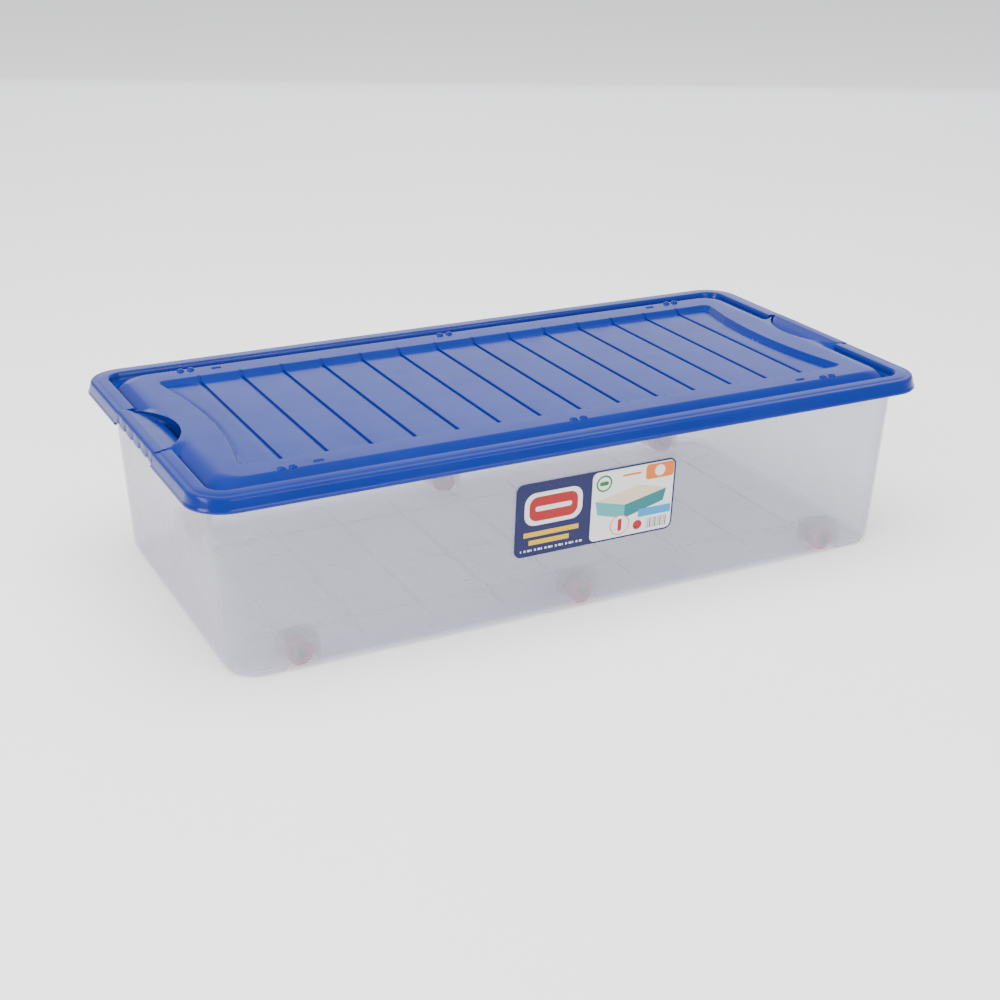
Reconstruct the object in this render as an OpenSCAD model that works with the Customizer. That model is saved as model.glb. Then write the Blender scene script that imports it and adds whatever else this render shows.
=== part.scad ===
// Long, shallow storage box on six small wheels, with a snap-on lid and two end latches.
// +Z is up and Z = 0 is the floor that the wheels stand on. The origin is the middle of the
// footprint. X runs along the box, -Y is the side that carries the label.

/* [Tub] */
// Length of the tub at its floor
tub_l = 998; // [960:2:1040]
// Width of the tub at its floor
tub_w = 484; // [470:2:500]
// Corner radius at the floor
tub_r = 42; // [36:1:46]
// Height of the floor's underside above the ground
floor_z = 5; // [4.5:0.5:6]
// Height of the top of the rim
rim_z = 245.5; // [245:0.1:245.5]
// Outward lean of the walls over their height
lean = 13.6; // [12:0.2:14.4]
// Wall thickness
wall_t = 2.5; // [2:0.1:3]
// Floor thickness
floor_t = 3; // [2.5:0.1:3.5]

/* [Lid] */
// Length over the skirt
lid_l = 1078; // [1076:1:1084]
// Width over the skirt
lid_w = 538; // [536:1:544]
// Corner radius of the skirt
lid_r = 52; // [48:1:56]
// Height of the top of the plateau
lid_z = 260; // [259.5:0.1:261]
// Thickness of the lid
lid_t = 2.5; // [2:0.1:2.6]
// Depth of the recessed panel
panel_drop = 7; // [5:0.5:8]
// Number of grooves across the panel
groove_n = 14; // [6:1:14]
// Distance from one groove to the next
groove_pitch = 61; // [56:1:62]

/* [Latches] */
// Width of a latch along the short side
latch_w = 169; // [150:1:169]
// Radius of the finger recess seen from above
finger_r = 102; // [98:1:104]

/* [Wheels] */
// Wheel radius
wheel_r = 17; // [15:0.5:17]
// Width of the tread
wheel_w = 24; // [20:0.5:24]
// Axle radius
axle_r = 2.5; // [2:0.1:3]
// Distance from the middle wheel to an end wheel
wheel_pitch = 406; // [380:1:410]

/* [Hidden] */
$fn = 96;
eps = 0.01;

// Tub, worked out from the sizes above
tub_hx = tub_l / 2;
tub_hy = tub_w / 2;
draft = lean / (rim_z - floor_z);
edge_r = 6;
flange = 8;
flange_t = 3;
end_flange_x = 534;
end_flange_w = 300;
foot_z = 0;
foot_w = 13;
foot_in = edge_r + 1.2;
foot_run_x = 34;
foot_run_y = 22;
rib_pitch = 101.5;
rib_y = 146;
rib_w = 2.4;
rib_h = 1.2;

// Wheel wells, measured out from the middle of the box
well_in = 204;
well_out = 237;
well_half = 21;
well_top = 38;
lug_half = 7;
lug_in = 197;
lug_out = 233;
bore_in = 199.5;
bore_out = 236.6;
collar_y = 230.7;
collar_t = 2;
collar_r = 7;
wheel_in = 206.2;
hub_r = 5.5;
hub_in = 204.6;
tread_wall = 3.5;
web_drop = 4;
wheel_bore_r = axle_r + 0.05;
snap_w = 4.2;

// Lid, worked out from the sizes above
lid_hx = lid_l / 2;
lid_hy = lid_w / 2;
skirt_z = 239.5;
band_z = 258.5;
band_in = 26.5;
moat_in = 28;
moat_z = 248.2;
rest_z = rim_z + 0.2;
rest_o = 16.5;
foot_hx = 505;
foot_hy = 229;
foot_r = 45;
shoulder = 17.5;
panel_hx = 458;
panel_hy = 174.5;
panel_r = 12;
panel_bulge = 22;
bulge_r = (panel_hy * panel_hy + panel_bulge * panel_bulge) / (2 * panel_bulge);
panel_z = lid_z - panel_drop;
groove_w = 5;
groove_d = 3;
nub_r = 3.5;
nub_h = 2;
nub_gap = 14;
nub_y = 207;
dash_x = 363;
dash_y = 201;
dash_l = 12;
dash_w = 3;

// Latch pivot and the hollow behind it
finger_x = 582;
hollow_z = 231;
plug_x = 507;
plug_z = 241.5;
tongue_gap = 4;
pivot_x = 531;
pivot_z = 252;
pivot_r = 2.2;
pivot_bore_r = 2.25;
seam_gap = 0.5;
latch_x = 520.5;
wall_end_x = 515.5;
cheek_t = 3.5;
barrel_r = 4;
grip_n = 5;
grip_pitch = 32;

// Label on the front wall
label_l = 242;
label_h = 106;
label_x = 6;
label_z = 148;
label_t = 0.4;
label_r = 11;

// Points of an arc, from angle a to angle b
function arc(cx, cy, r, a, b, n = 6) =
    [for (i = [0:n]) [cx + r * cos(a + (b - a) * i / n), cy + r * sin(a + (b - a) * i / n)]];

// Half of a mirrored pair, on the side that the sign says
module side_x(s) {
    if (s > 0)
        children();
    else
        mirror([1, 0, 0]) children();
}

module side_y(s) {
    if (s > 0)
        children();
    else
        mirror([0, 1, 0]) children();
}

// Sweep a profile round a rounded rectangle. The profile's x is the distance outwards from
// the outline and its y is the height.
module sweep(hx, hy, r) {
    for (i = [0:3])
        translate([(i == 0 || i == 3 ? 1 : -1) * (hx - r), (i < 2 ? 1 : -1) * (hy - r), 0])
            rotate([0, 0, 90 * i])
                rotate_extrude(angle = 90)
                    translate([r, 0])
                        children();
    for (s = [-1, 1]) {
        side_y(s)
            rotate([90, 0, 90])
                linear_extrude(height = 2 * (hx - r) + eps, center = true)
                    translate([hy, 0])
                        children();
        side_x(s)
            rotate([90, 0, 0])
                linear_extrude(height = 2 * (hy - r) + eps, center = true)
                    translate([hx, 0])
                        children();
    }
}

module rounded_2d(hx, hy, r) {
    square([2 * hx, 2 * (hy - r)], center = true);
    square([2 * (hx - r), 2 * hy], center = true);
    for (x = [-1, 1], y = [-1, 1])
        translate([x * (hx - r), y * (hy - r)])
            circle(r);
}

module slab(z0, z1, hx, hy, r) {
    translate([0, 0, z0])
        linear_extrude(height = z1 - z0)
            rounded_2d(hx, hy, r);
}

module block(x0, x1, y0, y1, z0, z1) {
    translate([x0, y0, z0])
        cube([x1 - x0, y1 - y0, z1 - z0]);
}

// ---------------------------------------------------------------- tub

// Wall, bottom edge and rolled rim, seen in section
module tub_profile() {
    top = lean;
    polygon(concat(
        arc(-edge_r, floor_z + edge_r, edge_r, -90, 0),
        [[top - draft * (flange + flange_t), rim_z - flange_t - flange * 0.6],
         [top + flange, rim_z - flange_t],
         [top + flange, rim_z],
         [top - wall_t, rim_z],
         [-wall_t + draft * edge_r, floor_z + 2 * edge_r]],
        arc(-edge_r, floor_z + floor_t + edge_r - wall_t, edge_r - wall_t, 0, -90)));
}

// A low foot that follows each bottom corner
module foot() {
    z1 = floor_z + 1;
    x0 = tub_hx - tub_r;
    y0 = tub_hy - tub_r;
    translate([x0, y0, foot_z])
        rotate_extrude(angle = 90)
            translate([tub_r - foot_in - foot_w, 0])
                square([foot_w, z1 - foot_z]);
    block(x0 - foot_run_x, x0, tub_hy - foot_in - foot_w, tub_hy - foot_in, foot_z, z1);
    block(tub_hx - foot_in - foot_w, tub_hx - foot_in, y0 - foot_run_y, y0, foot_z, z1);
}

// Walls of one wheel well, at the middle of the +Y side
module well_walls() {
    t = wall_t;
    block(-well_half - t, well_half + t, well_in - t - 1.5, well_out + 1, floor_z + 1, well_top + t);
    block(-lug_half, lug_half, lug_in, well_in, floor_z, well_top);
}

module well_void() {
    difference() {
        block(-well_half, well_half, well_in, well_out, -1, well_top);
        block(-lug_half, lug_half, lug_out, well_out + 1, wheel_r - 8, well_top + 1);
    }
    translate([0, bore_in, wheel_r])
        rotate([-90, 0, 0])
            cylinder(r = axle_r, h = bore_out - bore_in);
    block(-snap_w / 2, snap_w / 2, bore_in, well_in + eps, -1, wheel_r);
    block(-snap_w / 2, snap_w / 2, lug_out - eps, bore_out, -1, wheel_r);
}

module at_wheels() {
    for (x = [-1, 0, 1], s = [-1, 1])
        translate([x * wheel_pitch, 0, 0])
            side_y(s)
                children();
}

module tub() {
    color([0.80, 0.81, 0.84, 0.6])
        difference() {
            union() {
                sweep(tub_hx, tub_hy, tub_r)
                    tub_profile();
                slab(floor_z, floor_z + floor_t, tub_hx - edge_r + eps, tub_hy - edge_r + eps,
                     tub_r - edge_r);
                for (sx = [-1, 1], sy = [-1, 1])
                    side_x(sx) side_y(sy) foot();
                for (s = [-1, 1]) {
                    side_x(s)
                        block(tub_hx + lean, end_flange_x, -end_flange_w / 2, end_flange_w / 2,
                              rim_z - flange_t, rim_z);
                    side_y(s)
                        block(-tub_hx + tub_r, tub_hx - tub_r, rib_y - rib_w / 2,
                              rib_y + rib_w / 2, floor_z - rib_h, floor_z + eps);
                }
                for (i = [-4:4])
                    block(i * rib_pitch - rib_w / 2, i * rib_pitch + rib_w / 2, -well_in + 12,
                          well_in - 12, floor_z - rib_h, floor_z + eps);
                at_wheels() well_walls();
            }
            at_wheels() well_void();
        }
}

// ---------------------------------------------------------------- label

module label() {
    lean_deg = atan(draft);
    color([0.10, 0.14, 0.36])
        translate([label_x, -(tub_hy + draft * (label_z - floor_z)) - 0.02, label_z])
            rotate([90 + lean_deg, 0, 0])
                linear_extrude(height = label_t)
                    rounded_2d(label_l / 2, label_h / 2, label_r);
}

// ---------------------------------------------------------------- wheels

module wheel(x, s) {
    color([0.62, 0.08, 0.22])
        translate([x, 0, wheel_r])
            side_y(s)
                rotate([-90, 0, 0])
                    rotate_extrude()
                        polygon([
                            [wheel_bore_r, hub_in],
                            [hub_r, hub_in],
                            [hub_r, wheel_in + web_drop],
                            [wheel_r - tread_wall, wheel_in + web_drop],
                            [wheel_r - tread_wall, wheel_in],
                            [wheel_r - 1, wheel_in],
                            [wheel_r, wheel_in + 1],
                            [wheel_r, wheel_in + wheel_w - 1],
                            [wheel_r - 1, wheel_in + wheel_w],
                            [wheel_r - tread_wall, wheel_in + wheel_w],
                            [wheel_r - tread_wall, wheel_in + wheel_w - web_drop],
                            [hub_r, wheel_in + wheel_w - web_drop],
                            [hub_r, wheel_in + wheel_w],
                            [wheel_bore_r, wheel_in + wheel_w]]);
}

module axle(x, s) {
    color([0.22, 0.32, 0.48])
        translate([x, 0, wheel_r])
            side_y(s)
                rotate([-90, 0, 0]) {
                    translate([0, 0, bore_in])
                        cylinder(r = axle_r, h = bore_out - bore_in);
                    translate([0, 0, collar_y])
                        cylinder(r = collar_r, h = collar_t);
                }
}

// ---------------------------------------------------------------- lid

// Skirt, rim band, resting rib and outer wall of the moat, seen in section
module lid_rim_profile() {
    t = lid_t;
    polygon([
        [0, skirt_z],
        [-4, 255.5],
        [-6, 257.3],
        [-12, band_z],
        [-band_in, band_z],
        [-moat_in, moat_z - t],
        [-moat_in + t, moat_z - t],
        [-band_in + t, band_z - t],
        [-rest_o, band_z - t],
        [-rest_o, rest_z],
        [-rest_o + 2, rest_z],
        [-rest_o + 2, band_z - t],
        [-12, band_z - t],
        [-8, 255.2],
        [-6.3, 254],
        [-t, skirt_z]]);
}

// Side of the plateau, seen in section
module plateau_profile() {
    t = lid_t;
    polygon([
        [0, moat_z - t],
        [0, moat_z],
        [-3, moat_z + 2],
        [-12, lid_z - 2.5],
        [-shoulder + 2, lid_z],
        [-shoulder, lid_z],
        [-shoulder, lid_z - t],
        [-14, lid_z - t - 1],
        [-5, moat_z],
        [-3, moat_z - t]]);
}

// Outline of the recessed panel. Its short ends bow inwards round the finger recess.
module panel_2d(grow) {
    difference() {
        rounded_2d(panel_hx + grow, panel_hy + grow, panel_r + grow);
        for (s = [-1, 1])
            translate([s * (panel_hx - panel_bulge + bulge_r), 0])
                circle(bulge_r - grow, $fn = 360);
    }
}

// Space that a latch and the fingers behind it need, at the +X end
module latch_space() {
    half = latch_w / 2 + seam_gap;
    translate([finger_x, 0, hollow_z - 10])
        cylinder(r = finger_r, h = 60);
    block(plug_x, lid_hx + 10, -half, half, hollow_z - 10, lid_z + 10);
}

// Curved wall, floor and outer wall of the finger recess, at the +X end
module finger_hollow() {
    t = lid_t;
    difference() {
        intersection() {
            translate([finger_x, 0, hollow_z])
                cylinder(r = finger_r + t, h = lid_z - hollow_z);
            union() {
                block(finger_x - finger_r - 2 * t, plug_x, -finger_r, finger_r, hollow_z, lid_z);
                block(plug_x - eps, wall_end_x, -finger_r, finger_r, rim_z + 2, band_z);
            }
        }
        difference() {
            translate([finger_x, 0, hollow_z + t])
                cylinder(r = finger_r, h = 60);
            block(plug_x - t, plug_x + eps, -finger_r, finger_r, hollow_z, plug_z);
        }
    }
}

// Cheeks that hold the latch's pivots, at the +X end
module latch_cheeks() {
    half = latch_w / 2 + seam_gap;
    for (s = [-1, 1])
        side_y(s)
            block(lid_hx - rest_o, lid_hx - 4.4, half, half + cheek_t, rim_z + 1.5, band_z - 1.5);
}

module pivot_line(r, half) {
    translate([pivot_x, 0, pivot_z])
        rotate([90, 0, 0])
            cylinder(r = r, h = 2 * half, center = true);
}

module lid_shell() {
    difference() {
        union() {
            sweep(lid_hx, lid_hy, lid_r)
                lid_rim_profile();
            difference() {
                slab(moat_z - lid_t, moat_z, lid_hx - moat_in + eps, lid_hy - moat_in + eps,
                     lid_r - moat_in);
                slab(moat_z - 10, moat_z + 10, foot_hx - eps, foot_hy - eps, foot_r);
            }
            sweep(foot_hx, foot_hy, foot_r)
                plateau_profile();
            slab(lid_z - lid_t, lid_z, foot_hx - shoulder + eps, foot_hy - shoulder + eps,
                 foot_r - shoulder);
        }
        translate([0, 0, panel_z - 10])
            linear_extrude(height = 30)
                panel_2d(0);
        for (s = [-1, 1])
            side_x(s) latch_space();
    }
}

module panel() {
    reach = panel_hy - panel_r;
    translate([0, 0, panel_z - lid_t])
        linear_extrude(height = lid_t)
            panel_2d(lid_t);
    translate([0, 0, panel_z - lid_t])
        linear_extrude(height = lid_z - panel_z + lid_t / 2)
            difference() {
                panel_2d(lid_t);
                panel_2d(0);
            }
    for (i = [0:groove_n - 1]) {
        x = (i - (groove_n - 1) / 2) * groove_pitch;
        block(x - groove_w / 2 - 2, x + groove_w / 2 + 2, -reach, reach,
              panel_z - lid_t - groove_d + 0.5, panel_z - lid_t + eps);
    }
}

module grooves() {
    reach = panel_hy - panel_r + 1.5;
    for (i = [0:groove_n - 1]) {
        x = (i - (groove_n - 1) / 2) * groove_pitch;
        block(x - groove_w / 2, x + groove_w / 2, -reach + 2, reach - 2,
              panel_z - groove_d, panel_z + 1);
        for (s = [-1, 1])
            side_y(s)
                block(x - groove_w / 2, x + groove_w / 2, reach - 3, panel_hy + 1.4,
                      panel_z - 1, lid_z + 1);
    }
}

module nub() {
    cap_r = (nub_r * nub_r + nub_h * nub_h) / (2 * nub_h);
    intersection() {
        translate([0, 0, nub_h - cap_r])
            sphere(cap_r);
        translate([0, 0, -1])
            cylinder(r = nub_r + 1, h = nub_h + 2);
    }
}

module lid() {
    color([0.13, 0.24, 0.66])
        difference() {
            union() {
                lid_shell();
                panel();
                for (s = [-1, 1])
                    side_x(s) {
                        finger_hollow();
                        latch_cheeks();
                    }
                for (x = [-1, 0, 1], s = [-1, 1], y = [-1, 1])
                    translate([x * wheel_pitch + s * nub_gap / 2, y * nub_y, lid_z - 0.01])
                        nub();
            }
            grooves();
            for (s = [-1, 1], y = [-1, 1])
                side_x(s) side_y(y)
                    block(dash_x - dash_l / 2, dash_x + dash_l / 2, dash_y - dash_w / 2,
                          dash_y + dash_w / 2, lid_z - 1, lid_z + 1);
            for (s = [-1, 1])
                side_x(s)
                    pivot_line(pivot_bore_r, latch_w / 2 + seam_gap + cheek_t + 1);
        }
}

// ---------------------------------------------------------------- latches

module latch_profile() {
    polygon([
        [539.5, 243.5],
        [536.5, 255.8],
        [534, 258.2],
        [528, 259.3],
        [516, 259.3],
        [493, 249.5],
        [493, 247],
        [515, 256.6],
        [531, 256.6],
        [533.2, 254.8],
        [536.4, 243.5]]);
}

module latch() {
    half = latch_w / 2;
    intersection() {
        rotate([90, 0, 0])
            linear_extrude(height = latch_w, center = true)
                latch_profile();
        union() {
            block(latch_x, lid_hx + 10, -half, half, skirt_z, lid_z + 10);
            translate([finger_x, 0, skirt_z])
                cylinder(r = finger_r - tongue_gap, h = 40);
        }
    }
    pivot_line(barrel_r, half);
    pivot_line(pivot_r, half + seam_gap + cheek_t - 0.5);
    for (i = [-2:2])
        translate([0, i * half / 2.2, 0])
            block(pivot_x - 3, pivot_x + 3.5, -1.5, 1.5, pivot_z, 257.5);
    for (i = [0:grip_n - 1])
        translate([0, (i - (grip_n - 1) / 2) * grip_pitch, 0])
            block(537.2, 540.4, -8, 8, 242, 247.5);
}

module latch_left() {
    color([0.13, 0.24, 0.66])
        mirror([1, 0, 0]) latch();
}

module latch_right() {
    color([0.13, 0.24, 0.66])
        latch();
}

tub();
label();
lid();
latch_left();
latch_right();
wheel(-wheel_pitch, -1);  // wheel_front_left
wheel(0, -1);  // wheel_front_middle
wheel(wheel_pitch, -1);  // wheel_front_right
wheel(-wheel_pitch, 1);  // wheel_rear_left
wheel(0, 1);  // wheel_rear_middle
wheel(wheel_pitch, 1);  // wheel_rear_right
axle(-wheel_pitch, -1);  // axle_front_left
axle(0, -1);  // axle_front_middle
axle(wheel_pitch, -1);  // axle_front_right
axle(-wheel_pitch, 1);  // axle_rear_left
axle(0, 1);  // axle_rear_middle
axle(wheel_pitch, 1);  // axle_rear_right
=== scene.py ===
"""Looks for a long wheeled under bed box: translucent tub, blue grooved lid, two end latches."""

import math

import bmesh
import bpy
from mathutils import Matrix, Vector


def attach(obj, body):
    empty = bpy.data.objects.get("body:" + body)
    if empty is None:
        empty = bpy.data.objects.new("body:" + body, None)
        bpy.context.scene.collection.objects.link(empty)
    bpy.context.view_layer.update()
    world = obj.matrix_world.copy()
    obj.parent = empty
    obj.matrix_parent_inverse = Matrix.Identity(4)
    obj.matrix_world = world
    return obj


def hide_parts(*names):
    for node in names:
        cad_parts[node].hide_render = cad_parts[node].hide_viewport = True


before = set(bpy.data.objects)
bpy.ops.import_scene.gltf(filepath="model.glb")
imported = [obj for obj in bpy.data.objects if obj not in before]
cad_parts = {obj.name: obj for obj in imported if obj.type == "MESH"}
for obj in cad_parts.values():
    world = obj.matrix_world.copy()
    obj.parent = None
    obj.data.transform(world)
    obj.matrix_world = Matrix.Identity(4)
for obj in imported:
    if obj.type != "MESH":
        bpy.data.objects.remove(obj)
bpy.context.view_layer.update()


MM = 0.001
TINY = 1e-6
ROUND = 20  # points round a stud or a slot

# The lid, in millimetres. Half sizes are measured from the middle of the box.
LID_X, LID_Y, LID_R = 540.0, 267.6, 51.0
MOAT_Z = 248.0
PLATEAU_X, PLATEAU_Y, PLATEAU_R, PLATEAU_Z = 509.5, 230.5, 35.0, 260.0
PANEL_X, PANEL_Y, PANEL_Z = 450.4, 166.4, 253.0
PANEL_BULGE = 21.0  # how far the panel's ends bow inwards
GROOVES = 14
GROOVE_PITCH = 61.0
GROOVE_PAST = 2.8  # how far a groove runs into the panel's long walls
LID_WALL = 2.2

# The finger recesses: a latch fills |y| < SEAM, and the recess's wall is an arc
SEAM = 85.0
ARC_X, ARC_R = 582.0, 102.0
LIP_Z, LIP_REACH = 259.2, 15.0
RECESS_X = 524.0
RECESS_Z = 233.5

# The studs and slots on the plateau
STUD_Y, STUD_GAP, STUD_R, STUD_H = 207.0, 15.0, 5.6, 3.8
SLOT_X, SLOT_Y, SLOT_HALF = 363.0, 201.0, 4.6

# The latches
LATCH_WALL = 1.8
LATCH_Y = 84.5
TONGUE_GAP = 3.5
GRIP_PITCH, GRIP_REACH = 34.0, 78.0

# The tub's floor ribs and wheel wells
WHEEL_X = 406.0
RIB_PITCH, RIB_HALF = 101.5, 1.5
RIB_LOW, RIB_TOP = 7.9, 9.4


# ------------------------------------------------------------------ materials


class Nodes:
    """A material with its node tree, and a short way to add and link nodes."""

    def __init__(self, name):
        self.mat = bpy.data.materials.new(name)
        self.mat.use_nodes = True
        self.tree = self.mat.node_tree
        self.bsdf = self.tree.nodes["Principled BSDF"]
        self.out = self.tree.nodes["Material Output"]
        coord = self.tree.nodes.new("ShaderNodeTexCoord")
        self.coord = coord.outputs["Object"]

    def add(self, kind, **sets):
        node = self.tree.nodes.new(kind)
        for key, value in sets.items():
            setattr(node, key, value)
        return node

    def link(self, a, b):
        self.tree.links.new(a, b)

    def noise(self, scale, detail=3.0, rough=0.5, stretch=(1, 1, 1), turn=0.0):
        """Noise in the object's own coordinates, which may be turned about Z and stretched."""
        mapping = self.add("ShaderNodeMapping")
        mapping.inputs["Rotation"].default_value = (0, 0, turn)
        mapping.inputs["Scale"].default_value = stretch
        self.link(self.coord, mapping.inputs["Vector"])
        node = self.add("ShaderNodeTexNoise")
        node.inputs["Scale"].default_value = scale
        node.inputs["Detail"].default_value = detail
        node.inputs["Roughness"].default_value = rough
        self.link(mapping.outputs["Vector"], node.inputs["Vector"])
        return node.outputs["Fac"]

    def remap(self, value, lo, hi, a, b):
        """The value, with lo to hi stretched to a to b and held there outside."""
        node = self.add("ShaderNodeMapRange")
        node.inputs["From Min"].default_value = lo
        node.inputs["From Max"].default_value = hi
        node.inputs["To Min"].default_value = a
        node.inputs["To Max"].default_value = b
        self.link(value, node.inputs["Value"])
        return node.outputs["Result"]

    def math(self, op, a, b):
        node = self.add("ShaderNodeMath", operation=op)
        for socket, value in zip(node.inputs, (a, b)):
            if isinstance(value, (int, float)):
                socket.default_value = value
            else:
                self.link(value, socket)
        return node.outputs[0]

    def mix(self, fac, a, b):
        node = self.add("ShaderNodeMix", data_type="RGBA")
        for socket, value in ((node.inputs[0], fac), (node.inputs[6], a), (node.inputs[7], b)):
            if isinstance(value, bpy.types.NodeSocket):
                self.link(value, socket)
            else:
                socket.default_value = value
        return node.outputs[2]

    def bump(self, height, strength, distance, normal=None):
        node = self.add("ShaderNodeBump")
        node.inputs["Strength"].default_value = strength
        node.inputs["Distance"].default_value = distance
        self.link(height, node.inputs["Height"])
        if normal is not None:
            self.link(normal, node.inputs["Normal"])
        return node.outputs["Normal"]

    def scratches(self, scale, turn):
        """Thin, sparse hairlines, as a mask from 0 to 1."""
        return self.remap(self.noise(scale, 2.0, 0.5, (1, 22, 1), turn), 0.70, 0.78, 0.0, 1.0)

    def edge(self):
        """Sharp outside edges, as a mask from 0 to 1."""
        geometry = self.add("ShaderNodeNewGeometry")
        return self.remap(geometry.outputs["Pointiness"], 0.505, 0.56, 0.0, 1.0)

    def blend(self, fac, a, b):
        """Two shaders mixed; fac is a number or a socket."""
        node = self.add("ShaderNodeMixShader")
        if isinstance(fac, bpy.types.NodeSocket):
            self.link(fac, node.inputs[0])
        else:
            node.inputs[0].default_value = fac
        self.link(a, node.inputs[1])
        self.link(b, node.inputs[2])
        return node.outputs[0]


def moulded(name, colour, worn, rough, grain=0.12, shine=0.5):
    """Injection moulded plastic: fine grain, uneven sheen, hairlines and paler rubbed edges."""
    n = Nodes(name)
    tone = n.remap(n.noise(7.0, 4.0), 0.35, 0.65, 0.0, 1.0)
    darker = tuple(c * 0.9 for c in colour[:3]) + (1,)
    base = n.mix(tone, darker, colour)
    hair = n.math("MULTIPLY", n.scratches(20.0, 0.5), 0.12)
    rubbed = n.math("MULTIPLY", n.math("MULTIPLY", n.edge(), n.noise(60.0)), 0.45)
    marks = n.math("MAXIMUM", hair, rubbed)
    n.link(n.mix(marks, base, worn), n.bsdf.inputs["Base Color"])
    sheen = n.remap(n.noise(18.0, 5.0, 0.6), 0.3, 0.7, rough - 0.05, rough + 0.06)
    n.link(n.math("ADD", sheen, n.math("MULTIPLY", hair, 0.5)), n.bsdf.inputs["Roughness"])
    wavy = n.bump(n.noise(22.0, 1.0), 0.25, 0.0006)
    n.link(n.bump(n.noise(1400.0, 2.0), grain, 0.00012, wavy), n.bsdf.inputs["Normal"])
    n.bsdf.inputs["Specular IOR Level"].default_value = shine
    return n.mat


def milky(name, clear_hi=0.86, clear_lo=0.81, lift=0.0):
    """Natural polypropylene: light scatters in it, and things close behind it show faintly."""
    n = Nodes(name)
    cloud = n.remap(n.noise(6.0, 5.0, 0.6, (1, 1, 2.5)), 0.35, 0.65, 0.0, 1.0)
    dim = (0.80 + lift, 0.80 + lift, 0.86 + lift, 1)
    pale = (0.85 + lift, 0.85 + lift, 0.89 + lift, 1)
    hair = n.math("MULTIPLY", n.scratches(16.0, 1.2), 0.2)
    tint = n.mix(hair, n.mix(cloud, dim, pale), (0.9, 0.9, 0.92, 1))
    normal = n.bump(n.noise(900.0, 2.0), 0.10, 0.00012, n.bump(n.noise(9.0, 1.0), 0.3, 0.001))
    smears = n.noise(16.0, 5.0, 0.6)

    # The plastic itself: part of the light comes back off it and part scatters through it
    gloss = n.remap(smears, 0.3, 0.7, 0.24, 0.36)
    n.link(tint, n.bsdf.inputs["Base Color"])
    n.link(n.math("ADD", gloss, n.math("MULTIPLY", hair, 0.3)), n.bsdf.inputs["Roughness"])
    n.link(normal, n.bsdf.inputs["Normal"])
    through = n.add("ShaderNodeBsdfTranslucent")
    n.link(tint, through.inputs["Color"])
    n.link(normal, through.inputs["Normal"])
    body = n.blend(0.45, n.bsdf.outputs[0], through.outputs[0])

    # What is behind it shows best straight on, and hardly at a slant
    clear = n.add("ShaderNodeBsdfTransparent")
    clear.inputs["Color"].default_value = (0.93, 0.935, 0.965, 1)
    facing = n.add("ShaderNodeLayerWeight")
    facing.inputs["Blend"].default_value = 0.30
    n.link(normal, facing.inputs["Normal"])
    slant = n.math("MULTIPLY", n.math("POWER", facing.outputs["Facing"], 2.0), 0.75)
    straight = n.remap(cloud, 0.0, 1.0, clear_hi, clear_lo)
    seen = n.math("MAXIMUM", n.math("SUBTRACT", straight, slant), 0.08)
    whole = n.blend(seen, body, clear.outputs[0])

    # A thin sharper sheen on top
    coat = n.add("ShaderNodeBsdfGlossy")
    n.link(n.remap(smears, 0.3, 0.7, 0.10, 0.18), coat.inputs["Roughness"])
    n.link(normal, coat.inputs["Normal"])
    n.link(n.blend(0.045, whole, coat.outputs[0]), n.out.inputs["Surface"])
    return n.mat


def printed(name, colour):
    """Ink on satin film, with a fine halftone grain."""
    n = Nodes(name)
    dots = n.remap(n.noise(2600.0, 1.0), 0.3, 0.7, 0.0, 1.0)
    shade = tuple(c * 0.86 for c in colour)
    n.link(n.mix(dots, shade + (1,), colour + (1,)), n.bsdf.inputs["Base Color"])
    n.link(n.remap(n.noise(30.0, 4.0), 0.3, 0.7, 0.26, 0.40), n.bsdf.inputs["Roughness"])
    n.link(n.bump(n.noise(45.0, 2.0), 0.15, 0.0004), n.bsdf.inputs["Normal"])
    n.bsdf.inputs["Specular IOR Level"].default_value = 0.25
    return n.mat


BLUE = moulded("lid_blue", (0.0030, 0.017, 0.20, 1), (0.008, 0.03, 0.25, 1), 0.20, 0.10, 0.28)
MAGENTA = moulded("wheel_magenta", (0.62, 0.006, 0.10, 1), (0.7, 0.08, 0.16, 1), 0.36)
SLATE = moulded("axle_slate", (0.02, 0.05, 0.13, 1), (0.10, 0.14, 0.2, 1), 0.42)
MILKY = milky("tub_milky")
RIDGE = milky("tub_ridge", 0.45, 0.40, 0.09)


# ------------------------------------------------------------------ mesh helpers


def make(name, verts, faces, mat, body, slot, smooth=True, angle=32.0):
    """A piece in millimetres that rides on a body. Folds of more than angle degrees stay sharp."""
    mesh = bpy.data.meshes.new(name)
    mesh.from_pydata([Vector(v) * MM for v in verts], [], faces)
    mesh.materials.append(mat)
    edit = bmesh.new()
    edit.from_mesh(mesh)
    bmesh.ops.remove_doubles(edit, verts=edit.verts, dist=2e-6)
    bmesh.ops.dissolve_degenerate(edit, dist=1e-6, edges=edit.edges)
    bmesh.ops.recalc_face_normals(edit, faces=edit.faces)
    for face in edit.faces:
        face.smooth = smooth
    limit = math.radians(angle)
    for e in edit.edges:
        e.smooth = len(e.link_faces) != 2 or e.calc_face_angle(0) < limit
    edit.to_mesh(mesh)
    edit.free()
    obj = bpy.data.objects.new(name, mesh)
    bpy.context.scene.collection.objects.link(obj)
    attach(obj, body)
    return obj


def thicken(obj, thick):
    """Give a sheet its thickness, inwards from the outer skin."""
    mod = obj.modifiers.new("wall", "SOLIDIFY")
    mod.thickness = thick * MM
    mod.offset = -1
    mod.use_even_offset = False
    even = obj.modifiers.new("shade", "WEIGHTED_NORMAL")
    even.keep_sharp = True


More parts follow.
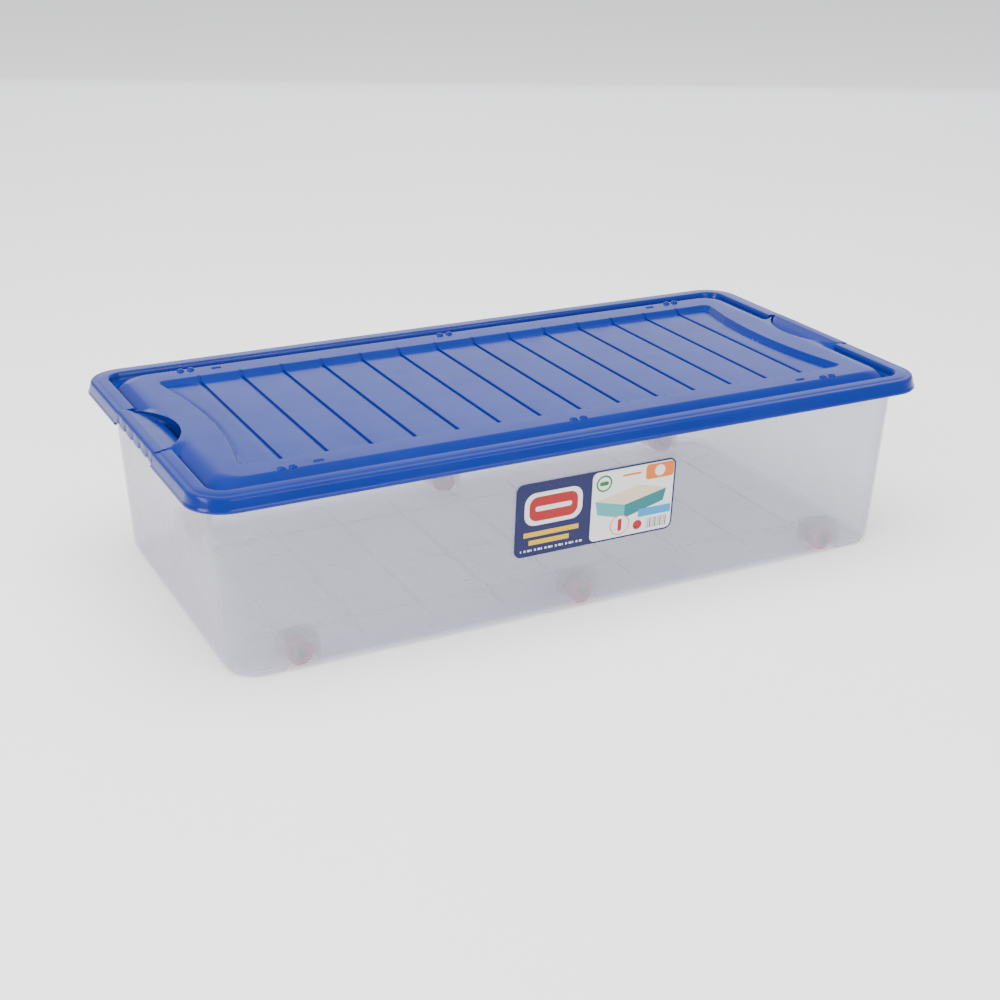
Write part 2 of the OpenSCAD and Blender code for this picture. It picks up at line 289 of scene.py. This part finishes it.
def loft(rings, closed=True):
    """Quads between rings with the same number of points."""
    n = len(rings[0])
    verts = [p for ring in rings for p in ring]
    faces = []
    for k in range(len(rings) - 1):
        for i in range(n if closed else n - 1):
            j = (i + 1) % n
            faces.append((k * n + i, k * n + j, (k + 1) * n + j, (k + 1) * n + i))
    return verts, faces


def topped(rings):
    """A loft whose last ring is closed with one face."""
    verts, faces = loft(rings)
    return verts, faces + [tuple(range(len(verts) - len(rings[-1]), len(verts)))]


def flat(points):
    """One flat face."""
    return points, [tuple(range(len(points)))]


def merged(parts):
    """Several lists of points and faces as one."""
    verts, faces = [], []
    for points, polygons in parts:
        base = len(verts)
        verts += points
        faces += [tuple(i + base for i in polygon) for polygon in polygons]
    return verts, faces


def ends(parts, s):
    """The same parts at the +X end (s = 1) or mirrored at the -X end (s = -1)."""
    return [([(s * x, y, z) for x, y, z in v], f) for v, f in parts]


# ------------------------------------------------------------------ lid

# Across a groove: its edges, flanks and floor, as distances from its middle and depths
ACROSS = ((-3.4, 0.0), (-2.5, -0.7), (-1.9, -3.2), (1.9, -3.2), (2.5, -0.7), (3.4, 0.0))
CENTRES = [(i - (GROOVES - 1) / 2) * GROOVE_PITCH for i in range(GROOVES)]

# Stations along a long side, with the groove's depth at each, and across an end
LONG = [(centre + off, depth) for centre in CENTRES for off, depth in ACROSS]
SHORT = [SEAM * math.sin(math.radians(90 * i / 32)) for i in range(-32, 33)]
BESIDE = (88.0, 92.0, 97.0, 104.0)
TURN = 18  # steps round a corner


def arc_x(y):
    """Where the finger recess's wall stands at y, at the +X end."""
    return ARC_X - math.sqrt(max(ARC_R ** 2 - y * y, 0.0))


def ring(hx, hy, r, z, bulge=0.0, past=0.0, sunk=False):
    """Points round a rounded rectangle, anticlockwise from the front left.

    Its ends bow inwards by bulge. At each groove it steps out by past, and if it is sunk it
    dips to the groove's floor.
    """

    def side(sy):
        stations = [(-hx + r, 0.0)] + LONG + [(hx - r, 0.0)]
        row = [(x, sy * (hy + (past if depth < -1 else 0.0)), z + (depth if sunk else 0.0))
               for x, depth in stations]
        return row if sy < 0 else row[::-1]

    def turn(cx, cy, start):
        angles = [math.radians(start + 90 * i / TURN) for i in range(1, TURN)]
        return [(cx + r * math.cos(a), cy + r * math.sin(a), z) for a in angles]

    def end(sx):
        ys = [-hy + r] + [-y for y in BESIDE[::-1]] + SHORT + list(BESIDE) + [hy - r]
        row = [(sx * hx, y, z) for y in ys]
        return row if sx > 0 else row[::-1]

    def bowed(x, y, h):
        at_end = min(max((abs(x) - (hx - r - 1)) / r, 0.0), 1.0)
        return x - math.copysign(bulge * max(1 - (y / hy) ** 2, 0.0), x) * at_end, y, h

    points = side(-1) + turn(hx - r, -hy + r, -90) + end(1) + turn(hx - r, hy - r, 0)
    points += side(1) + turn(-hx + r, hy - r, 90) + end(-1) + turn(-hx + r, -hy + r, 180)
    return [bowed(*p) for p in points] if bulge else points


def rim_rings():
    """Skirt, bead, rounded top edge, band and the outer wall of the moat.

    Each row is a distance out from the skirt's line and a height.
    """
    rows = [(0.4, 239.4), (1.5, 239.2), (2.3, 240.2), (2.2, 242.4), (1.2, 243.3), (0.6, 246),
            (-0.8, 251), (-1.8, 254.6), (-2.6, 256.4), (-3.8, 257.5), (-5.4, 257.9),
            (-7.5, 257.8), (-11.0, 258.0), (-12.4, 258.3), (-14.0, 258.7), (-24.5, 259.3),
            (-26.2, 258.7), (-27.3, 257.4), (-28.4, 253), (-29.2, 249.6), (-30.0, 248.4),
            (-31.5, MOAT_Z)]
    rings = [ring(LID_X + out, LID_Y + out, max(LID_R + out, 8), z) for out, z in rows]
    return rings + [ring(503, 226, 30, MOAT_Z)]


def split(rings):
    """The front and back halves of closed rings, without the latches' widths."""
    n = len(rings[0])
    seams = [i for i, p in enumerate(rings[0]) if abs(abs(p[1]) - SEAM) < TINY]
    right_low, right_high, left_high, left_low = seams
    front = [i % n for i in range(left_low, right_low + n + 1)]
    back = list(range(right_high, left_high + 1))
    return [[[r[i] for i in span] for r in rings] for span in (front, back)]


def rim_half(rings):
    """Half of the rim, with its two ends closed where they meet the latches."""
    parts = [loft(rings, closed=False)]
    for i in (0, -1):
        x, y, _ = rings[0][i]
        under = [(math.copysign(in_x, x), y, z)
                 for in_x, z in ((534.0, 247.4), (537.4, 244.0), (538.4, 239.6))]
        parts.append(flat([r[i] for r in rings] + under))
    return parts


def plateau_rings():
    """The soft shoulder up to the plateau, and the walls down to the recessed panel."""
    shoulder = ((509.5, 230.5, MOAT_Z), (508.3, 229.0, 248.5), (506.6, 227.0, 250.0),
                (504.2, 224.2, 252.2), (501.2, 221.4, 254.5), (497.6, 218.6, 256.7),
                (493.4, 216.2, 258.3), (488.8, 214.2, 259.3), (484.0, 212.4, 259.85),
                (479.0, 210.2, PLATEAU_Z))
    rings = [ring(hx, hy, PLATEAU_R - i, z) for i, (hx, hy, z) in enumerate(shoulder)]
    rings.append(ring(468, 196, 26, PLATEAU_Z))
    wall = ((459.6, 176.6, 14, PLATEAU_Z, 2.2), (458.4, 175.4, 13, 259.7, 2.4),
            (457.6, 174.4, 12, 258.9, 2.6), (453.0, 169.2, 9, 254.2, GROOVE_PAST),
            (451.8, 168.0, 8, 253.3, GROOVE_PAST))
    rings += [ring(hx, hy, r, z, PANEL_BULGE, past) for hx, hy, r, z, past in wall]
    rings.append(ring(PANEL_X, PANEL_Y, 7, PANEL_Z, PANEL_BULGE, GROOVE_PAST, True))
    return rings


def notched(rings):
    """Cut the finger recess into the ends: its wall stands along the arc, with a raised lip."""
    out = []
    for r in rings:
        row = []
        for x, y, z in r:
            off = math.hypot(abs(x) - ARC_X, y) - ARC_R
            near = min(max(1 - off / LIP_REACH, 0.0), 1.0)
            if z < LIP_Z:
                z += (LIP_Z - z) * near * near * (3 - 2 * near)
            if abs(y) <= SEAM + TINY and abs(x) > arc_x(y):
                x = math.copysign(arc_x(y), x)
            row.append((x, y, z))
        out.append(row)
    return out


def foot_ring(foot_z):
    """The foot of the recess's wall: at foot_z along the arc, and in the moat elsewhere."""
    row = []
    for x, y, z in ring(PLATEAU_X, PLATEAU_Y, PLATEAU_R, MOAT_Z):
        if abs(y) <= SEAM + TINY:
            row.append((math.copysign(min(arc_x(y), RECESS_X), x), y, foot_z))
        else:
            row.append((x, y, z))
    return row


def floor_patch():
    """The grooved floor of the recessed panel."""
    inner = PANEL_Y - 3
    last = LONG[-1][0]
    rows = []
    for y in [-PANEL_Y] + [inner * (i / 15 - 1) for i in range(31)] + [PANEL_Y]:
        reach = PANEL_X - PANEL_BULGE * max(1 - (y / PANEL_Y) ** 2, 0.0)
        lead = [last + (reach - last) * i / 4 for i in range(1, 5)]
        past = math.copysign(GROOVE_PAST, y) if abs(y) > PANEL_Y - 1 else 0.0
        row = [(-x, y, PANEL_Z) for x in reversed(lead)]
        row += [(x, y + (past if depth < -1 else 0.0), PANEL_Z + depth) for x, depth in LONG]
        row += [(x, y, PANEL_Z) for x in lead]
        rows.append(row)
    return loft(rows, closed=False)


def pocket(s):
    """Floor and step of the finger recess behind a latch."""
    step = ((0, RECESS_Z), (503.5, RECESS_Z), (505.0, RECESS_Z + 1.5), (505.6, RECESS_Z + 7.5))
    rows = [[(max(x, arc_x(y)), y, z) for y in SHORT] for x, z in step]
    return ends([loft(rows, closed=False)], s)[0]


def stud(cx, cy):
    """A rounded stud that stands on the plateau."""
    rings = []
    for i in range(6):
        t = math.radians(90 * i / 5.5)
        r, z = STUD_R * math.cos(t), PLATEAU_Z - 0.4 + STUD_H * math.sin(t)
        angles = [2 * math.pi * k / ROUND for k in range(ROUND)]
        rings.append([(cx + r * math.cos(a), cy + r * math.sin(a), z) for a in angles])
    return topped(rings)


def slot(cx, cy):
    """A small moulded slot: a raised lip round a shallow trough."""
    rings = []
    angles = [2 * math.pi * (k + 0.5) / ROUND for k in range(ROUND)]
    for r, lift in ((2.9, -0.3), (2.7, 0.5), (2.2, 0.9), (1.7, 0.7), (1.2, 0.15)):
        rings.append([(cx + math.copysign(SLOT_HALF, math.cos(a)) + r * math.cos(a),
                       cy + r * math.sin(a), PLATEAU_Z + lift) for a in angles])
    return topped(rings)


def build_lid():
    parts = [part for half in split(rim_rings()) for part in rim_half(half)]
    feet = [foot_ring(RECESS_Z), foot_ring(LIP_Z - 0.6)]
    parts.append(loft(feet + notched(plateau_rings())))
    parts.append(floor_patch())
    parts += [pocket(s) for s in (1, -1)]
    lid = make("lid_cover", *merged(parts), BLUE, "lid", "lid_plastic", angle=50)
    thicken(lid, LID_WALL)
    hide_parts("lid")
    studs = [stud(x + s * STUD_GAP / 2, y)
             for x in (-WHEEL_X, 0, WHEEL_X) for y in (-STUD_Y, STUD_Y) for s in (-1, 1)]
    make("lid_studs", *merged(studs), BLUE, "lid", "lid_plastic")
    slots = [slot(sx * SLOT_X, sy * SLOT_Y) for sx in (-1, 1) for sy in (-1, 1)]
    make("lid_slots", *merged(slots), BLUE, "lid", "lid_plastic", angle=50)


# ------------------------------------------------------------------ latches

# The latch's section at the +X end, from the skirt's foot over the crown to the tongue's tip
SKIRT = ((536.4, 243.6), (538.6, 243.2), (540.6, 243.6), (541.2, 245.0), (540.4, 248.0),
         (538.9, 252.4), (538.0, 255.6), (537.2, 257.2), (536.0, 258.3), (534.2, 258.9))
CROWN = ((531.0, 259.1), (523.5, 259.1))
TONGUE = ((521.3, 258.7), (519.0, 257.9), (510.0, 256.2), (503.0, 254.4), (497.0, 252.4),
          (492.0, 250.6), (488.5, 249.4))


def tongue_z(at):
    """Height of the tongue at x = at; outside it is the crown."""
    line = CROWN[-1:] + TONGUE
    for (xa, za), (xb, zb) in zip(line, line[1:]):
        if xb <= at <= xa:
            return zb + (za - zb) * (at - xb) / (xa - xb)
    return CROWN[-1][1]


def latch_point(k, x, y, z):
    """Point k of the section at y: the tongue stops short of the arc, the skirt is waved."""
    limit = arc_x(y) + TONGUE_GAP
    if k >= len(SKIRT) and x < limit:
        return limit, y, tongue_z(limit)
    wave = max(math.cos(2 * math.pi * y / GRIP_PITCH), 0.0) if abs(y) < GRIP_REACH else 0.0
    if k <= 3:
        z += 2.6 * wave
    if 1 <= k <= 5:
        x -= 0.8 * wave
    return x, y, z


def build_latch(s, body):
    ys = [y * LATCH_Y / SEAM for y in SHORT]
    rows = [[latch_point(k, x, y, z) for y in ys]
            for k, (x, z) in enumerate(SKIRT + CROWN + TONGUE)]
    parts = [loft(rows, closed=False)]
    for i in (0, -1):
        y = ys[i]
        under = [(528.4, y, 259.1), (528.4, y, 250.0), (535.2, y, 246.5)]
        parts.append(flat([r[i] for r in rows[:len(SKIRT + CROWN)]] + under))
    latch = make(body + "_shell", *merged(ends(parts, s)), BLUE, body, "lid_plastic", angle=40)
    thicken(latch, LATCH_WALL)
    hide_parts(body)


build_lid()
build_latch(-1, "latch_left")
build_latch(1, "latch_right")


# ------------------------------------------------------------------ tub, wheels and axles


def finish_cad(node, mat, rounding=0.0):
    """Give a CAD node its material, and slightly rounded edges where rounding is set."""
    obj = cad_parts[node]
    obj.data.materials.clear()
    obj.data.materials.append(mat)
    if rounding:
        mod = obj.modifiers.new("round", "BEVEL")
        mod.width = rounding * MM
        mod.segments = 2
        mod.limit_method = "ANGLE"
        mod.angle_limit = math.radians(40)
        mod.harden_normals = False


def bar(x0, x1, y0, y1, z0, z1):
    """A bar with its upper edges taken down."""
    b = 0.6
    low = [(x0, y0, z0), (x1, y0, z0), (x1, y1, z0), (x0, y1, z0)]
    mid = [(x, y, z1 - b) for x, y, _ in low]
    top = [(x0 + b, y0 + b, z1), (x1 - b, y0 + b, z1), (x1 - b, y1 - b, z1), (x0 + b, y1 - b, z1)]
    return topped([low, mid, top])


def build_ribs():
    """Raised lines on the tub's floor, and the lips of the six wheel wells."""
    parts = []
    for i in range(-4, 5):
        x = i * RIB_PITCH
        parts.append(bar(x - RIB_HALF, x + RIB_HALF, -190, 190, RIB_LOW, RIB_TOP))
    for y in (-146, 146):
        parts.append(bar(-457, 457, y - RIB_HALF, y + RIB_HALF, RIB_LOW, RIB_TOP))
    for x in (-WHEEL_X, 0, WHEEL_X):
        for y0, y1 in ((-203, -199.9), (199.9, 203)):
            parts.append(bar(x - 24.5, x + 24.5, y0, y1, 39.5, 42.0))
    make("tub_ribs", *merged(parts), RIDGE, "tub", "tub_plastic")


finish_cad("tub", MILKY)
for row in ("front", "rear"):
    for place in ("left", "middle", "right"):
        finish_cad("wheel_" + row + "_" + place, MAGENTA, 0.4)
        finish_cad("axle_" + row + "_" + place, SLATE, 0.3)
build_ribs()


# ------------------------------------------------------------------ label

# The label lies on the front wall, which leans out by LABEL_TILT; it is blank shapes, no lettering
LABEL_X, LABEL_Z, LABEL_TILT = 6.0, 148.0, math.atan(13.6 / 240.5)
LABEL_Y = -(242.0 + math.tan(LABEL_TILT) * (LABEL_Z - 5.0)) - 0.42

INK_COLOURS = {
    "navy": (0.006, 0.010, 0.075),
    "white": (0.74, 0.75, 0.76),
    "cream": (0.66, 0.58, 0.42),
    "red": (0.36, 0.008, 0.012),
    "yellow": (0.66, 0.40, 0.01),
    "green": (0.02, 0.16, 0.04),
    "orange": (0.70, 0.17, 0.012),
    "teal": (0.012, 0.17, 0.19),
    "aqua": (0.08, 0.36, 0.36),
    "cyan": (0.02, 0.28, 0.60),
    "dark": (0.03, 0.03, 0.05),
}
INK = {name: printed("ink_" + name, colour) for name, colour in INK_COLOURS.items()}


def on_label(u, v, lift):
    """A point of the label, u across it and v up it, lift in front of its face."""
    c, s = math.cos(LABEL_TILT), math.sin(LABEL_TILT)
    return (LABEL_X + u, LABEL_Y - v * s - lift * c, LABEL_Z + v * c - lift * s)


def print_piece(name, shapes, ink, lift):
    """Outlines printed in one ink, lift millimetres in front of the label's face."""
    parts = [topped([[on_label(u, v, height) for u, v in shape] for height in (lift - 0.05, lift)])
             for shape in shapes]
    make("label_" + name, *merged(parts), INK[ink], "tub", "label_print", smooth=False)


def rect(u0, v0, u1, v1, r=0.0):
    """A rectangle, with corners of radius r."""
    if r <= 0:
        return [(u0, v0), (u1, v0), (u1, v1), (u0, v1)]
    points = []
    for cu, cv, start in ((u1 - r, v0 + r, -90), (u1 - r, v1 - r, 0), (u0 + r, v1 - r, 90),
                          (u0 + r, v0 + r, 180)):
        angles = [math.radians(start + 15 * i) for i in range(7)]
        points += [(cu + r * math.cos(a), cv + r * math.sin(a)) for a in angles]
    return points


def disc(u, v, r):
    angles = [2 * math.pi * i / 40 for i in range(40)]
    return [(u + r * math.cos(a), v + r * math.sin(a)) for a in angles]


def strokes(u0, v0, v1, count, step, thin):
    """A row of upright strokes of three widths in turn."""
    starts = [u0 + step * i for i in range(count)]
    return [rect(u, v0, u + thin * (1 + i % 3), v1) for i, u in enumerate(starts)]


def build_label():
    finish_cad("label", INK["navy"])
    print_piece("white", [rect(-8, -50.5, 118.5, 50.5, 8)], "white", 0.05)
    print_piece("plate", [rect(-108, -9, -22, 38, 16)], "white", 0.05)
    print_piece("plate_core", [rect(-101, -3, -29, 32, 12)], "red", 0.10)
    print_piece("plate_stripe", [rect(-92, 11, -38, 18, 3)], "white", 0.15)
    print_piece("lines", [rect(-108, -25, -26, -18), rect(-100, -37, -40, -30)], "yellow", 0.05)
    print_piece("small_lines", strokes(-112, -46, -43, 18, 5.2, 1.3), "white", 0.05)
    print_piece("badge", [disc(10, 33, 12)], "green", 0.10)
    print_piece("badge_inset", [disc(10, 33, 9.5)], "white", 0.15)
    print_piece("badge_leaf", [rect(3, 30, 17, 36, 3)], "green", 0.20)
    print_piece("orange", [rect(74, 27, 118, 49, 5), rect(38, 38, 66, 41)], "orange", 0.10)
    print_piece("orange_inset", [disc(96, 38, 8)], "white", 0.15)
    print_piece("box_top", [[(-2, 8), (66, 22), (108, 10), (44, -4)]], "cream", 0.10)
    print_piece("box_side", [[(-2, 8), (44, -4), (44, -24), (2, -12)]], "aqua", 0.11)
    print_piece("box_front", [[(44, -4), (108, 10), (104, -8), (44, -24)]], "teal", 0.12)
    print_piece("ring", [disc(38, -33, 15)], "orange", 0.16)
    print_piece("ring_inset", [disc(38, -33, 13.6)], "white", 0.20)
    print_piece("ring_mark", [rect(35, -42, 41, -24, 2)], "red", 0.25)
    print_piece("cyan", [rect(66, -27, 117, -15, 1)], "cyan", 0.16)
    print_piece("seal", [disc(66, -38, 7)], "red", 0.10)
    print_piece("bars", strokes(80, -46, -31, 12, 2.7, 0.5), "dark", 0.10)


build_label()


# ------------------------------------------------------------------ stage, lights and camera


# The camera stands at the photo's place, turned right, tipped down and rolled, in degrees
CAMERA_PLACE = (-1.0268, -1.9756, 0.9999)
CAMERA_TURN, CAMERA_TIP, CAMERA_ROLL = -27.269, -22.778, 0.610


def build_floor():
    n = Nodes("floor_pale")
    cloud = n.remap(n.noise(1.2, 3.0), 0.3, 0.7, 0.0, 1.0)
    n.link(n.mix(cloud, (0.86, 0.86, 0.87, 1), (0.89, 0.89, 0.90, 1)),
           n.bsdf.inputs["Base Color"])
    n.link(n.remap(n.noise(30.0, 3.0), 0.3, 0.7, 0.55, 0.7), n.bsdf.inputs["Roughness"])
    n.bsdf.inputs["Emission Color"].default_value = (1, 1, 1, 1)
    n.bsdf.inputs["Emission Strength"].default_value = 0.45
    half = 9.0
    mesh = bpy.data.meshes.new("floor")
    mesh.from_pydata([(-half, -half, 0), (half, -half, 0), (half, half, 0), (-half, half, 0)],
                     [], [(0, 1, 2, 3)])
    mesh.materials.append(n.mat)
    floor = bpy.data.objects.new("floor", mesh)
    floor.location.z = -0.0005
    bpy.context.scene.collection.objects.link(floor)


def softbox(name, place, target, width, height, power, colour=(1, 1, 1), mirrored=True):
    """A rectangular lamp in metres and watts; mirrored ones show in glossy surfaces."""
    light = bpy.data.lights.new(name, "AREA")
    light.shape = "RECTANGLE"
    light.size = width
    light.size_y = height
    light.energy = power
    light.color = colour
    obj = bpy.data.objects.new(name, light)
    obj.location = place
    aim = Vector(target) - Vector(place)
    obj.rotation_euler = aim.to_track_quat("-Z", "Y").to_euler()
    obj.visible_glossy = mirrored
    bpy.context.scene.collection.objects.link(obj)


def build_world():
    world = bpy.data.worlds.new("studio")
    world.use_nodes = True
    back = world.node_tree.nodes["Background"]
    back.inputs["Color"].default_value = (0.93, 0.95, 1.0, 1)
    back.inputs["Strength"].default_value = 0.70
    bpy.context.scene.world = world


def build_camera():
    data = bpy.data.cameras.new("camera")
    data.sensor_width = 36.0
    data.lens = 59.3
    data.clip_end = 60.0
    camera = bpy.data.objects.new("camera", data)
    turn = Matrix.Rotation(math.radians(CAMERA_TURN), 4, "Z")
    tip = Matrix.Rotation(math.radians(90 + CAMERA_TIP), 4, "X")
    roll = Matrix.Rotation(math.radians(CAMERA_ROLL), 4, "Z")
    camera.matrix_world = Matrix.Translation(CAMERA_PLACE) @ turn @ tip @ roll
    bpy.context.scene.collection.objects.link(camera)
    bpy.context.scene.camera = camera


def build_lights():
    softbox("overhead", (-0.3, -0.6, 4.2), (0, 0, 0), 5.0, 5.0, 430, (1.0, 0.99, 0.97), False)
    softbox("sky_panel", (1.9, 3.7, 1.2), (0, 0, 0.26), 5.0, 2.2, 31, (0.86, 0.90, 1.0))
    softbox("key", (-3.0, -0.2, 2.2), (0, 0, 0.1), 1.4, 1.4, 50, (1.0, 0.94, 0.88))
    softbox("left_fill", (-3.2, -0.9, 1.0), (-0.5, 0, 0.2), 1.2, 0.6, 26, (1.0, 0.88, 0.79))
    softbox("front_fill", (0.8, -3.8, 1.8), (0, 0, 0.1), 3.0, 0.2, 34)


build_floor()
build_world()
build_camera()
build_lights()
